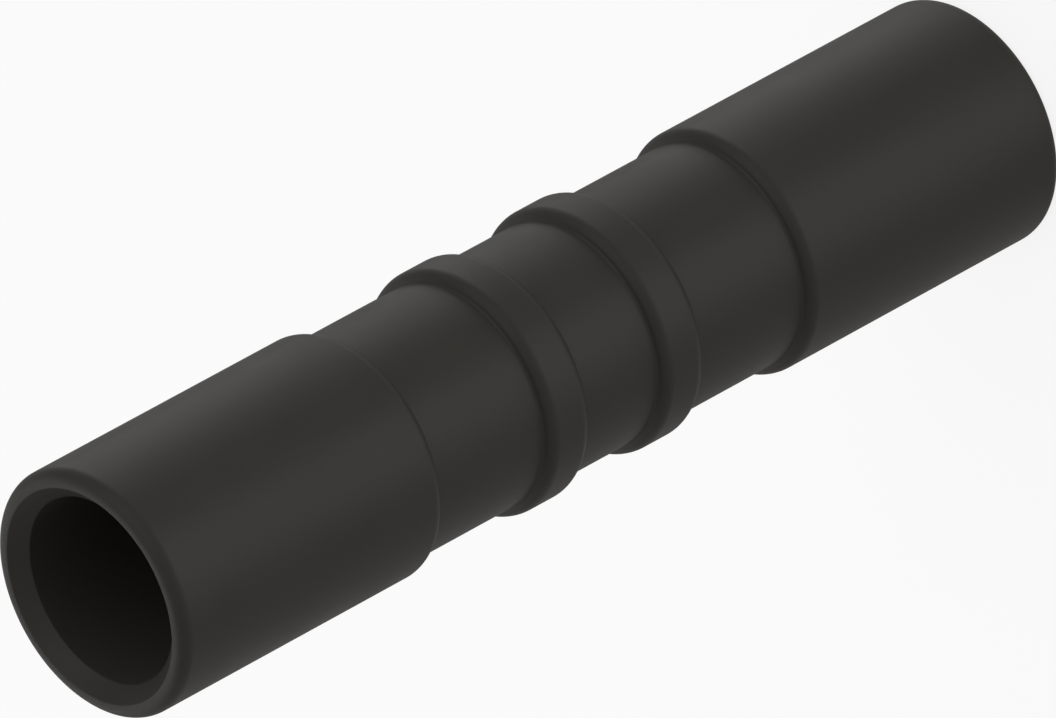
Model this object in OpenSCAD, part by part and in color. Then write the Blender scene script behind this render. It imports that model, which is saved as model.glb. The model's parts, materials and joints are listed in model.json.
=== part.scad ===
// Plug-in sleeve that joins two push-in pipe fittings end to end.
// One moulded tube: a plain spigot at each end, a shallow groove behind each spigot,
// and two narrow collars in the middle with a waist between them.
// It stands on one end, with the origin at the centre of that end and +Z along the bore.

/* [Spigots] */
// Outside diameter of the spigots, which is the size of tube that the fittings take
tube_d = 10; // [6:0.5:20]
// Length of each spigot, from its tip to the groove behind it
spigot_l = 13.5; // [8:0.5:30]
// Rounding of the outer edge at each tip, which leads the sleeve past a seal
tip_r = 0.5; // [0.1:0.05:0.6]

/* [Bore] */
// Wall thickness of the spigots, between their outside and the bore
wall = 1.25; // [1.2:0.05:2.5]
// Width and depth of the 45 degree chamfer at each mouth of the bore
mouth_chamfer = 0.6; // [0.1:0.05:0.6]

/* [Grooves and waist] */
// Depth of the grooves and of the waist below the outside of the spigots
groove_depth = 0.4; // [0.3:0.05:0.7]
// Length of each groove, between a spigot and the collar behind it
groove_l = 5.5; // [2:0.5:15]
// Length of the waist between the two collars
waist_l = 3.8; // [2:0.2:15]

/* [Collars] */
// Width of each collar along the sleeve
collar_w = 2.2; // [1.4:0.1:8]
// Height of the collars above the grooves and the waist
collar_rise = 0.4; // [0.3:0.05:2]

/* [Edges] */
// Rounding of the collars' edges and of the spigots' inner edges
edge_r = 0.5; // [0.1:0.05:0.6]
// Fillet at the foot of each collar and spigot, where it rises from a groove or the waist
root_r = 0.15; // [0.05:0.01:0.25]

/* [Hidden] */

// Steps round the sleeve, and round each small edge circle
turn_fn = 180;
edge_fn = 96;

// How far touching circles run into each other, so that they join cleanly
blend = 0.0005;

// Radii of the surfaces, measured from the axis
tube_r = tube_d / 2;
bore_r = tube_r - wall;
mouth_r = bore_r + mouth_chamfer;
neck_r = tube_r - groove_depth;
collar_r = neck_r + collar_rise;

// Heights along the axis, from the end that it stands on
collar_1_z = spigot_l + groove_l;
collar_2_z = collar_1_z + collar_w + waist_l;
spigot_2_z = collar_2_z + collar_w + groove_l;
sleeve_l = spigot_2_z + spigot_l;

// Section of one raised band, from the axis out to band_r, with its two edges rounded
module band(band_r, low_z, high_z, low_edge_r, high_edge_r) {
    translate([0, low_z + low_edge_r])
        square([band_r, high_z - low_z - low_edge_r - high_edge_r]);
    band_end(band_r, low_z, low_edge_r, 0);
    band_end(band_r, high_z, high_edge_r, 1);
}

// End of a band at height z: its rounded edge, and the flat that runs in from there.
// top is 1 at the upper end of the band, and 0 at the lower end.
module band_end(band_r, z, round_r, top) {
    translate([0, z - top * round_r])
        square([band_r - round_r, round_r]);
    translate([band_r - round_r, z + (1 - 2 * top) * round_r])
        circle(round_r, $fn = edge_fn);
}

// Root fillet at height z, between the neck and the band that rises there.
// Its circle touches the neck, and either the band's edge circle or the flank below it.
// top is 1 where the band lies under the fillet, and 0 where it lies above.
module root_fillet(band_r, z, top) {
    away = 2 * top - 1;
    edge_centre = [band_r - edge_r, z - away * edge_r];
    fillet_x = neck_r + root_r - blend;
    reach = edge_r + root_r - blend;
    rise = max(0, fillet_x - edge_centre[0]);
    run = sqrt(reach ^ 2 - rise ^ 2);
    fillet_z = edge_centre[1] + away * run;
    touch_x = fillet_x - rise * root_r / reach;
    difference() {
        translate([0, min(fillet_z, edge_centre[1])])
            square([touch_x, run]);
        translate([fillet_x, fillet_z])
            circle(root_r, $fn = edge_fn);
    }
}

// Section of the bore with the chamfer at each mouth, from the axis out
module bore_section() {
    polygon([
        [0, 0],
        [mouth_r, 0],
        [bore_r, mouth_chamfer],
        [bore_r, sleeve_l - mouth_chamfer],
        [mouth_r, sleeve_l],
        [0, sleeve_l]
    ]);
}

// Half section of the whole sleeve, with radius along X and height along Y
module sleeve_section() {
    difference() {
        union() {
            translate([0, spigot_l - edge_r])
                square([neck_r, spigot_2_z - spigot_l + 2 * edge_r]);
            band(tube_r, 0, spigot_l, tip_r, edge_r);
            root_fillet(tube_r, spigot_l, 1);
            for (z = [collar_1_z, collar_2_z]) {
                root_fillet(collar_r, z, 0);
                band(collar_r, z, z + collar_w, edge_r, edge_r);
                root_fillet(collar_r, z + collar_w, 1);
            }
            root_fillet(tube_r, spigot_2_z, 0);
            band(tube_r, spigot_2_z, sleeve_l, edge_r, tip_r);
        }
        bore_section();
    }
}

module coupling_sleeve() {
    color("#31302f")
        rotate_extrude($fn = turn_fn)
            sleeve_section();
}

coupling_sleeve();
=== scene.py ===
"""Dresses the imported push-fit pipe coupling: a moulded plastic sleeve, and a studio round it.

The sleeve stands on one end, as in the CAD model. All sizes are in metres.
"""

import json
import math

import bmesh
import bpy
from mathutils import Matrix, Vector


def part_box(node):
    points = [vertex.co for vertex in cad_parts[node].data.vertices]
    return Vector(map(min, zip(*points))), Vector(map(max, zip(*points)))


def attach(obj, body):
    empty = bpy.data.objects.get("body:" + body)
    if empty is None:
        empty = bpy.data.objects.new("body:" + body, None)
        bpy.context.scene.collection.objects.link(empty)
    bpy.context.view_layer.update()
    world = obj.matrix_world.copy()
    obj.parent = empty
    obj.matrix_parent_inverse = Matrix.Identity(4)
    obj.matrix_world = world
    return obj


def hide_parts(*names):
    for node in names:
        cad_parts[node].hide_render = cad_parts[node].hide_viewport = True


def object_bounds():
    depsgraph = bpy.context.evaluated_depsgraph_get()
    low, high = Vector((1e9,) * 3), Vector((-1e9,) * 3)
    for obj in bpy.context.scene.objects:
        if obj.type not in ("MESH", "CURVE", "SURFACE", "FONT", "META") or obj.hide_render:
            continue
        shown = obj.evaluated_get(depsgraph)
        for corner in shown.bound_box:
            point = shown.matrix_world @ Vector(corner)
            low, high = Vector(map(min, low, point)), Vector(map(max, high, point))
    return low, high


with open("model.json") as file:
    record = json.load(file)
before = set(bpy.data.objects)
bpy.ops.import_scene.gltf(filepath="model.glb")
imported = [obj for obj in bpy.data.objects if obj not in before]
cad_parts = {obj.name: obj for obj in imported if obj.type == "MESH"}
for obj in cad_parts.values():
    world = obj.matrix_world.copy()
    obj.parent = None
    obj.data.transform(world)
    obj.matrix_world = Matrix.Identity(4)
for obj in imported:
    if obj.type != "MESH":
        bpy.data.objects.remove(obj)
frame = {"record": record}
cad_low, cad_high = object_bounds()

bl_info = {
    "name": "Pipe coupling",
    "version": (1, 0, 0),
    "blender": (4, 5, 0),
    "location": "View3D > Sidebar > Coupling",
    "description": "Builds a moulded push-fit pipe coupling and a plain studio around it",
    "category": "Mesh",
}

MM = 0.001
BODY = "root"
NODE = "coupling_sleeve"
MOUNTS = {mount["name"]: mount for mount in frame["record"]["mounts"]}
NODE_LOW, NODE_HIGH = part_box(NODE)

# The section's arcs are drawn in steps of this angle, and the sleeve in this many steps round
ARC_STEP = math.radians(6)
TURN_STEPS = 288

# Straight runs of the section get a point this close to each end, which keeps their shading flat
HOLD = 0.05 * MM
# Points closer than this are one point, where the section's halves and the turn's ends meet
MERGE = 0.0005 * MM
# Cuts across each softened edge of the mouth
EDGE_BREAK_SEGMENTS = 3

# The plastic's refractive index
PLASTIC_IOR = 1.55
# Specular level where the surface faces the eye, and at the outline. A plain gloss grows toward
# the outline, and this one fades: it was fitted to the photograph's tones, cause unknown.
GLOSS_FACING = 0.15
GLOSS_OUTLINE = 0.003
# Layer Weight's default, which leaves Facing as 1 minus the cosine of the angle to the eye
FACING_BLEND = 0.5
# Clouds in the colour and the sheen: their width, how finely they break up, and the part of
# the noise's range that is used
CLOUD_WIDTH = 3 * MM
CLOUD_DETAIL = 2.0
CLOUD_LOW = 0.3
CLOUD_HIGH = 0.7
# Roughness in the glossier and the duller clouds
ROUGHNESS_LOW = 0.48
ROUGHNESS_HIGH = 0.52
# The darker clouds have this share of the plastic's brightness
DEEP_SHARE = 0.9
# How finely the grain breaks up, and its faint relief
GRAIN_DETAIL = 1.0
GRAIN_STRENGTH = 0.05
GRAIN_DEPTH = 0.01 * MM
# The bore's paler colour is painted light, which lifts the shade inside the bore
# The bore's colour gives way to the outside's between these distances out from its wall
BORE_PAINTED_LIGHT_IN = 0.002 * MM
BORE_PAINTED_LIGHT_OUT = 0.012 * MM

# The camera of the photograph: a long lens that looks down on the standing sleeve, rolled so
# that the sleeve lies across the picture
LENS_MM = 927.5
SENSOR_MM = 36.0
CAMERA_DISTANCE = 1012.671 * MM
CAMERA_RIGHT = -0.2191 * MM
CAMERA_UP = -0.17 * MM
CAMERA_ELEVATION = math.radians(36.34)
CAMERA_ROLL = math.radians(-118.59)

# The surround lights the object this much; where the camera sees it, it is plain white
SURROUND_LIGHT = 0.39
# Share of the floor's white that is its own, which keeps the shadow on it faint
FLOOR_OWN_WHITE = 0.85
# Sides of the round floor, whose rim is outside the picture
FLOOR_SIDES = 64

# Soft lamps: name, angle round the sleeve from the camera's side, height above the horizon,
# strength and spread, with angles in degrees. They were fitted to the tones on the sleeve in the
# photograph, which doesn't show its lamps. The table lamps shine up through the floor, which
# casts no shadow.
LAMPS = [
    ("back", 180, 30, 0.99, 60),
    ("side_low", 60, 30, 0.41, 60),
    ("side_high", 60, 60, 0.52, 60),
    ("table_front", 0, -36, 0.68, 30),
    ("table_left", 330, -36, 0.48, 30),
    ("table_right", 90, -36, 0.32, 30),
    ("table_far_right", 120, -36, 0.31, 30),
]


def linear(hex_colour):
    """Turns an sRGB hex colour into Blender's linear red, green and blue."""
    parts = [int(hex_colour[i : i + 2], 16) / 255 for i in (1, 3, 5)]
    return tuple(c / 12.92 if c <= 0.04045 else ((c + 0.055) / 1.055) ** 2.4 for c in parts)


class CouplingSizes(bpy.types.PropertyGroup):
    """Sizes of the sleeve."""

    outer_diameter: bpy.props.FloatProperty(
        name="Outer diameter",
        description="Outside diameter of the spigots and the collars",
        default=2 * MOUNTS["spigot_top"]["dims"]["r_mm"] * MM,
        min=2 * MM,
        unit="LENGTH",
    )
    bore_radius: bpy.props.FloatProperty(
        name="Bore radius",
        description="Radius of the passage through the sleeve",
        default=MOUNTS["passage"]["dims"]["r_mm"] * MM,
        min=0.5 * MM,
        unit="LENGTH",
    )
    length: bpy.props.FloatProperty(
        name="Length",
        description="Length of the sleeve from end to end",
        default=NODE_HIGH.z - NODE_LOW.z,
        min=10 * MM,
        unit="LENGTH",
    )
    spigot_length: bpy.props.FloatProperty(
        name="Spigot length",
        description="Length of each plain end, from its tip to the groove behind it",
        default=13.5 * MM,
        min=2 * MM,
        unit="LENGTH",
    )
    groove_length: bpy.props.FloatProperty(
        name="Groove length",
        description="Length of the groove between a spigot and its collar",
        default=5.5 * MM,
        min=1 * MM,
        unit="LENGTH",
    )
    collar_width: bpy.props.FloatProperty(
        name="Collar width",
        description="Width of each collar along the sleeve",
        default=2.2 * MM,
        min=1.4 * MM,
        unit="LENGTH",
    )
    groove_depth: bpy.props.FloatProperty(
        name="Groove depth",
        description="Depth of the grooves and the waist below the spigots",
        default=0.4 * MM,
        min=0.1 * MM,
        unit="LENGTH",
    )
    mouth_chamfer: bpy.props.FloatProperty(
        name="Mouth chamfer",
        description="Width and depth of the 45 degree chamfer at each mouth of the bore",
        default=0.6 * MM,
        min=0.1 * MM,
        unit="LENGTH",
    )
    edge_radius: bpy.props.FloatProperty(
        name="Edge radius",
        description="Rounding of the tips and of each band's edges",
        default=0.5 * MM,
        min=0.1 * MM,
        unit="LENGTH",
    )
    root_radius: bpy.props.FloatProperty(
        name="Root radius",
        description="Fillet where a spigot or a collar rises from a groove or the waist",
        default=0.15 * MM,
        min=0.05 * MM,
        unit="LENGTH",
    )
    edge_break: bpy.props.FloatProperty(
        name="Edge break",
        description="How far the mould's sharp edges round the mouth are softened",
        default=0.03 * MM,
        min=0.005 * MM,
        unit="LENGTH",
    )


class CouplingFinish(bpy.types.PropertyGroup):
    """Colour and surface of the moulded plastic."""

    plastic: bpy.props.FloatVectorProperty(
        name="Plastic",
        description="Colour of the moulded plastic",
        default=linear("#272521"),
        min=0,
        max=1,
        size=3,
        subtype="COLOR",
    )
    # Painted light: the bore's paler colour lifts the shade inside the bore, which the lamps leave
    # darker
    bore: bpy.props.FloatVectorProperty(
        name="Bore",
        description="Colour of the bore's wall, a shade paler than the outside",
        default=linear("#35332f"),
        min=0,
        max=1,
        size=3,
        subtype="COLOR",
    )
    grain: bpy.props.FloatProperty(
        name="Grain",
        description="Width of one grain of the fine texture on the plastic",
        default=0.12 * MM,
        min=0.02 * MM,
        unit="LENGTH",
    )


class CouplingStage(bpy.types.PropertyGroup):
    """Floor and background."""

    floor_radius: bpy.props.FloatProperty(
        name="Floor radius",
        description="Radius of the round floor",
        default=3.0,
        min=0.1,
        unit="LENGTH",
    )
    floor: bpy.props.FloatVectorProperty(
        name="Floor",
        description="Colour of the floor",
        default=linear("#fafafa"),
        min=0,
        max=1,
        size=3,
        subtype="COLOR",
    )
    background: bpy.props.FloatVectorProperty(
        name="Background",
        description="Colour behind the sleeve",
        default=linear("#ffffff"),
        min=0,
        max=1,
        size=3,
        subtype="COLOR",
    )


def section_run(bm, tip, radius, height):
    """Draws a straight run of the section from tip, and returns its far point."""
    start = tip.co.copy()
    end = Vector((radius, 0, height))
    hold = (end - start).normalized() * HOLD
    for place in (start + hold, end - hold, end):
        tip = bmesh.ops.extrude_vert_indiv(bm, verts=[tip])["verts"][0]
        bmesh.ops.translate(bm, verts=[tip], vec=place - tip.co)
    return tip


def section_arc(bm, tip, centre, turn):
    """Turns tip about a centre given as radius and height, which draws an arc of the section."""
    arc = bmesh.ops.spin(
        bm,
        geom=[tip],
        cent=(centre[0], 0, centre[1]),
        axis=(0, -1, 0),
        angle=turn,
        steps=max(1, math.ceil(abs(turn) / ARC_STEP)),
    )
    return arc["geom_last"][0]


def draw_section(bm, sizes):
    """Draws the wire section of the sleeve: one half below the middle, mirrored, and moved up."""
    tube_r = sizes.outer_diameter / 2
    neck_r = tube_r - sizes.groove_depth
    bore_r = sizes.bore_radius
    mouth_r = bore_r + sizes.mouth_chamfer
    edge_r = sizes.edge_radius
    root_r = sizes.root_radius
    arc_r = tube_r - edge_r
    end_z = -sizes.length / 2
    spigot_z = end_z + sizes.spigot_length
    collar_z = spigot_z + sizes.groove_length

    # The edge circle and the root fillet touch, so this angle and distance place the fillet
    rise = neck_r + root_r - arc_r
    run = math.sqrt((edge_r + root_r) ** 2 - rise**2)
    lean = math.atan2(run, rise)

    tip = bm.verts.new((bore_r, 0, 0))
    tip = chamfer_in = section_run(bm, tip, bore_r, end_z + sizes.mouth_chamfer)
    tip = chamfer_out = section_run(bm, tip, mouth_r, end_z)
    tip = section_run(bm, tip, arc_r, end_z)
    tip = section_arc(bm, tip, (arc_r, end_z + edge_r), math.radians(90))

    def step_down(tip, height):
        """Runs to a band's end at this height, and down its rounded edge into the neck."""
        tip = section_run(bm, tip, tube_r, height - edge_r)
        tip = section_arc(bm, tip, (arc_r, height - edge_r), lean)
        return section_arc(bm, tip, (neck_r + root_r, height - edge_r + run), -lean)

    def step_up(tip, height):
        """Runs along the neck to the band that starts at this height, and up its rounded edge."""
        tip = section_run(bm, tip, neck_r, height + edge_r - run)
        tip = section_arc(bm, tip, (neck_r + root_r, height + edge_r - run), -lean)
        return section_arc(bm, tip, (arc_r, height + edge_r), lean)

    tip = step_down(tip, spigot_z)
    tip = step_up(tip, collar_z)
    tip = step_down(tip, collar_z + sizes.collar_width)
    section_run(bm, tip, neck_r, 0)

    bmesh.ops.bevel(
        bm,
        geom=[chamfer_in, chamfer_out],
        affect="VERTICES",
        offset=sizes.edge_break,
        offset_type="OFFSET",
        segments=EDGE_BREAK_SEGMENTS,
        profile=0.5,
        material=-1,
    )
    bmesh.ops.mirror(
        bm,
        geom=bm.verts[:] + bm.edges[:],
        matrix=Matrix.Identity(4),
        merge_dist=MERGE,
        axis="Z",
    )
    bmesh.ops.translate(bm, verts=bm.verts, vec=(0, 0, -end_z))


def add_node(tree, kind, settings=None, **links):
    """Adds a node, sets its properties and sockets, and links the sockets that get an output."""
    node = tree.nodes.new(kind)
    for name, value in (settings or {}).items():
        setattr(node, name, value)
    for name, value in links.items():
        socket = node.inputs[name.replace("_", " ")]
        if isinstance(value, bpy.types.NodeSocket):
            tree.links.new(value, socket)
        else:
            socket.default_value = value
    return node


def moulded_black_pbt(finish, bore_radius):
    """Black polybutylene terephthalate, injection moulded in a finely eroded mould.

    The eye sees a satin black: a soft, wide sheen with no mirror image, over a grain and clouds
    too faint to pick out. The plastic is a guess from its look. The grain and the clouds are a
    guess at what such a mould leaves, because the photograph shows no texture.
    """
    material = bpy.data.materials.new("moulded_black_pbt")
    material.use_nodes = True
    tree = material.node_tree
    tree.nodes.clear()
    place = add_node(tree, "ShaderNodeTexCoord").outputs["Object"]
    clouds = add_node(
        tree,
        "ShaderNodeTexNoise",
        Vector=place,
        Scale=1 / CLOUD_WIDTH,
        Detail=CLOUD_DETAIL,
    )
    grain = add_node(
        tree,
        "ShaderNodeTexNoise",
        Vector=place,
        Scale=1 / finish.grain,
        Detail=GRAIN_DETAIL,
    )
    sheen = add_node(
        tree,
        "ShaderNodeMapRange",
        Value=clouds.outputs["Fac"],
        From_Min=CLOUD_LOW,
        From_Max=CLOUD_HIGH,
        To_Min=ROUGHNESS_LOW,
        To_Max=ROUGHNESS_HIGH,
    )
    facing = add_node(tree, "ShaderNodeLayerWeight", Blend=FACING_BLEND)
    gloss = add_node(
        tree,
        "ShaderNodeMapRange",
        Value=facing.outputs["Facing"],
        To_Min=GLOSS_FACING,
        To_Max=GLOSS_OUTLINE,
    )
    deep = [channel * DEEP_SHARE for channel in finish.plastic]
    ramp = add_node(tree, "ShaderNodeValToRGB", Fac=clouds.outputs["Fac"])
    dark_end, light_end = ramp.color_ramp.elements
    dark_end.position = CLOUD_LOW
    dark_end.color = (*deep, 1)
    light_end.position = CLOUD_HIGH
    light_end.color = (*finish.plastic, 1)
    # Mask of the painted light in the bore, whose paler colour lifts the shade inside it
    # 1 on the bore's wall and 0 from there out, so that the chamfers keep the outside's colour
    across = add_node(tree, "ShaderNodeVectorMath", {"operation": "MULTIPLY"})
    tree.links.new(place, across.inputs[0])
    across.inputs[1].default_value = (1, 1, 0)
    radius = add_node(tree, "ShaderNodeVectorMath", {"operation": "LENGTH"})
    tree.links.new(across.outputs["Vector"], radius.inputs[0])
    painted_bore_light = add_node(
        tree,
        "ShaderNodeMapRange",
        Value=radius.outputs["Value"],
        From_Min=bore_radius + BORE_PAINTED_LIGHT_IN,
        From_Max=bore_radius + BORE_PAINTED_LIGHT_OUT,
        To_Min=1.0,
        To_Max=0.0,
    )
    # Mixes in the bore's paler colour, painted light that lifts the shade inside the bore
    colour = add_node(
        tree,
        "ShaderNodeMixRGB",
        Fac=painted_bore_light.outputs["Result"],
        Color1=ramp.outputs["Color"],
        Color2=(*finish.bore, 1),
    )
    bump = add_node(
        tree,
        "ShaderNodeBump",
        Strength=GRAIN_STRENGTH,
        Distance=GRAIN_DEPTH,
        Height=grain.outputs["Fac"],
    )
    surface = add_node(
        tree,
        "ShaderNodeBsdfPrincipled",
        Base_Color=colour.outputs["Color"],
        Roughness=sheen.outputs["Result"],
        IOR=PLASTIC_IOR,
        Specular_IOR_Level=gloss.outputs["Result"],
        Normal=bump.outputs["Normal"],
    )
    add_node(tree, "ShaderNodeOutputMaterial", Surface=surface.outputs["BSDF"])
    return material


def settle_face_order(bm):
    """Sorts the faces, because a spin makes them in another order on each run."""
    bm.verts.index_update()
    total = len(bm.verts)

    def place(face):
        numbers = [vert.index for vert in face.verts]
        return min(numbers) * total + max(numbers)

    bm.faces.sort(key=place)


class COUPLING_OT_build_sleeve(bpy.types.Operator):
    """Builds the moulded sleeve with its spigots, grooves, collars and bore."""

    bl_idname = "coupling.build_sleeve"
    bl_label = "Build sleeve"
    bl_options = {"REGISTER", "UNDO"}

    def execute(self, context):
        sizes = context.scene.coupling_sizes
        bm = bmesh.new()
        draw_section(bm, sizes)
        bmesh.ops.spin(
            bm,
            geom=bm.verts[:] + bm.edges[:],
            cent=(0, 0, 0),
            axis=(0, 0, 1),
            angle=math.tau,
            steps=TURN_STEPS,
            use_merge=True,
        )
        bmesh.ops.remove_doubles(bm, verts=bm.verts, dist=MERGE)
        bmesh.ops.recalc_face_normals(bm, faces=bm.faces)
        settle_face_order(bm)
        if not all(edge.is_manifold for edge in bm.edges):
            raise RuntimeError("the sleeve's mesh isn't closed: check the sizes")
        for face in bm.faces:
            face.smooth = True
        mesh = bpy.data.meshes.new("moulded_sleeve")
        bm.to_mesh(mesh)
        bm.free()
        mesh.materials.append(moulded_black_pbt(context.scene.coupling_finish, sizes.bore_radius))
        sleeve = bpy.data.objects.new("moulded_sleeve", mesh)
        context.scene.collection.objects.link(sleeve)
        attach(sleeve, BODY)
        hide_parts(NODE)
        return {"FINISHED"}


class COUPLING_OT_set_stage(bpy.types.Operator):
    """Sets up the floor, the studio light and the camera."""

    bl_idname = "coupling.set_stage"
    bl_label = "Set stage"
    bl_options = {"REGISTER", "UNDO"}

    def execute(self, context):
        scene = context.scene
        stage = scene.coupling_stage
        scene.view_settings.view_transform = "Standard"
        lay_floor(scene, stage)
        light_studio(scene, stage)
        place_camera(scene)
        return {"FINISHED"}


def seen_directly(tree):
    """Returns an output that is 1 for what the camera sees straight, mirrored or through glass."""
    rays = add_node(tree, "ShaderNodeLightPath").outputs
    seen = rays["Is Camera Ray"]
    for kind in ("Is Glossy Ray", "Is Transmission Ray"):
        either = add_node(tree, "ShaderNodeMath", {"operation": "MAXIMUM"})
        tree.links.new(seen, either.inputs[0])
        tree.links.new(rays[kind], either.inputs[1])
        seen = either.outputs[0]
    return seen


def lay_floor(scene, stage):
    """Lays a round sheet of matt white card. Some of its white is its own: shadows stay faint."""
    bm = bmesh.new()
    bmesh.ops.create_circle(bm, cap_ends=True, segments=FLOOR_SIDES, radius=stage.floor_radius)
    mesh = bpy.data.meshes.new("floor")
    bm.to_mesh(mesh)
    bm.free()
    material = bpy.data.materials.new("matt_white_card")
    material.use_nodes = True
    tree = material.node_tree
    tree.nodes.clear()
    card = add_node(tree, "ShaderNodeBsdfDiffuse", Color=(*stage.floor, 1))
    white = add_node(tree, "ShaderNodeEmission", Color=(*stage.background, 1), Strength=1.0)
    share = add_node(tree, "ShaderNodeMath", {"operation": "MULTIPLY"})
    tree.links.new(seen_directly(tree), share.inputs[0])
    share.inputs[1].default_value = FLOOR_OWN_WHITE
    mix = add_node(tree, "ShaderNodeMixShader", Fac=share.outputs[0])
    tree.links.new(card.outputs[0], mix.inputs[1])
    tree.links.new(white.outputs[0], mix.inputs[2])
    add_node(tree, "ShaderNodeOutputMaterial", Surface=mix.outputs[0])
    mesh.materials.append(material)
    floor = bpy.data.objects.new("floor", mesh)
    floor.visible_shadow = False
    scene.collection.objects.link(floor)


def light_studio(scene, stage):
    """Adds an even white surround and the soft lamps."""
    world = bpy.data.worlds.new("studio")
    world.use_nodes = True
    scene.world = world
    tree = world.node_tree
    tree.nodes.clear()
    soft = add_node(
        tree,
        "ShaderNodeBackground",
        Color=(*stage.background, 1),
        Strength=SURROUND_LIGHT,
    )
    white = add_node(tree, "ShaderNodeBackground", Color=(*stage.background, 1), Strength=1.0)
    mix = add_node(tree, "ShaderNodeMixShader", Fac=seen_directly(tree))
    tree.links.new(soft.outputs[0], mix.inputs[1])
    tree.links.new(white.outputs[0], mix.inputs[2])
    add_node(tree, "ShaderNodeOutputWorld", Surface=mix.outputs[0])
    for name, azimuth, elevation, strength, spread in LAMPS:
        lamp = bpy.data.lights.new(name, "SUN")
        lamp.energy = strength
        lamp.angle = math.radians(spread)
        # Rays that look for a lamp under the table would stop at the table, so each lamp is
        # sampled straight from the lit surface
        lamp.cycles.use_multiple_importance_sampling = False
        lamp_object = bpy.data.objects.new(name, lamp)
        turn = Matrix.Rotation(math.radians(azimuth), 4, "Z")
        tilt = Matrix.Rotation(math.radians(90 - elevation), 4, "X")
        lamp_object.matrix_world = turn @ tilt
        scene.collection.objects.link(lamp_object)


def place_camera(scene):
    """Puts the camera where the photograph's perspective says that it stood."""
    camera = bpy.data.cameras.new("camera")
    camera.lens = LENS_MM
    camera.sensor_width = SENSOR_MM
    camera_object = bpy.data.objects.new("camera", camera)
    tilt = Matrix.Rotation(math.radians(90) - CAMERA_ELEVATION, 4, "X")
    roll = Matrix.Rotation(CAMERA_ROLL, 4, "Z")
    offset = Matrix.Translation((CAMERA_RIGHT, CAMERA_UP, CAMERA_DISTANCE))
    centre = Matrix.Translation((cad_low + cad_high) / 2)
    camera_object.matrix_world = centre @ tilt @ roll @ offset
    scene.collection.objects.link(camera_object)
    scene.camera = camera_object


class COUPLING_PT_panel(bpy.types.Panel):
    """Lists the coupling's sizes, finish and steps."""

    bl_idname = "COUPLING_PT_panel"
    bl_label = "Pipe coupling"
    bl_space_type = "VIEW_3D"
    bl_region_type = "UI"
    bl_category = "Coupling"

    def draw(self, context):
        for group in (
            context.scene.coupling_sizes,
            context.scene.coupling_finish,
            context.scene.coupling_stage,
        ):
            box = self.layout.box()
            for name in group.bl_rna.properties.keys():
                if name not in ("rna_type", "name"):
                    box.prop(group, name)
        self.layout.operator("coupling.build_sleeve")
        self.layout.operator("coupling.set_stage")


CLASSES = (
    CouplingSizes,
    CouplingFinish,
    CouplingStage,
    COUPLING_OT_build_sleeve,
    COUPLING_OT_set_stage,
    COUPLING_PT_panel,
)


def register():
    for cls in CLASSES:
        bpy.utils.register_class(cls)
    bpy.types.Scene.coupling_sizes = bpy.props.PointerProperty(type=CouplingSizes)
    bpy.types.Scene.coupling_finish = bpy.props.PointerProperty(type=CouplingFinish)
    bpy.types.Scene.coupling_stage = bpy.props.PointerProperty(type=CouplingStage)


def unregister():
    del bpy.types.Scene.coupling_stage
    del bpy.types.Scene.coupling_finish
    del bpy.types.Scene.coupling_sizes
    for cls in reversed(CLASSES):
        bpy.utils.unregister_class(cls)


def main():
    register()
    bpy.ops.coupling.build_sleeve()
    bpy.ops.coupling.set_stage()


if __name__ == "__main__":
    main()
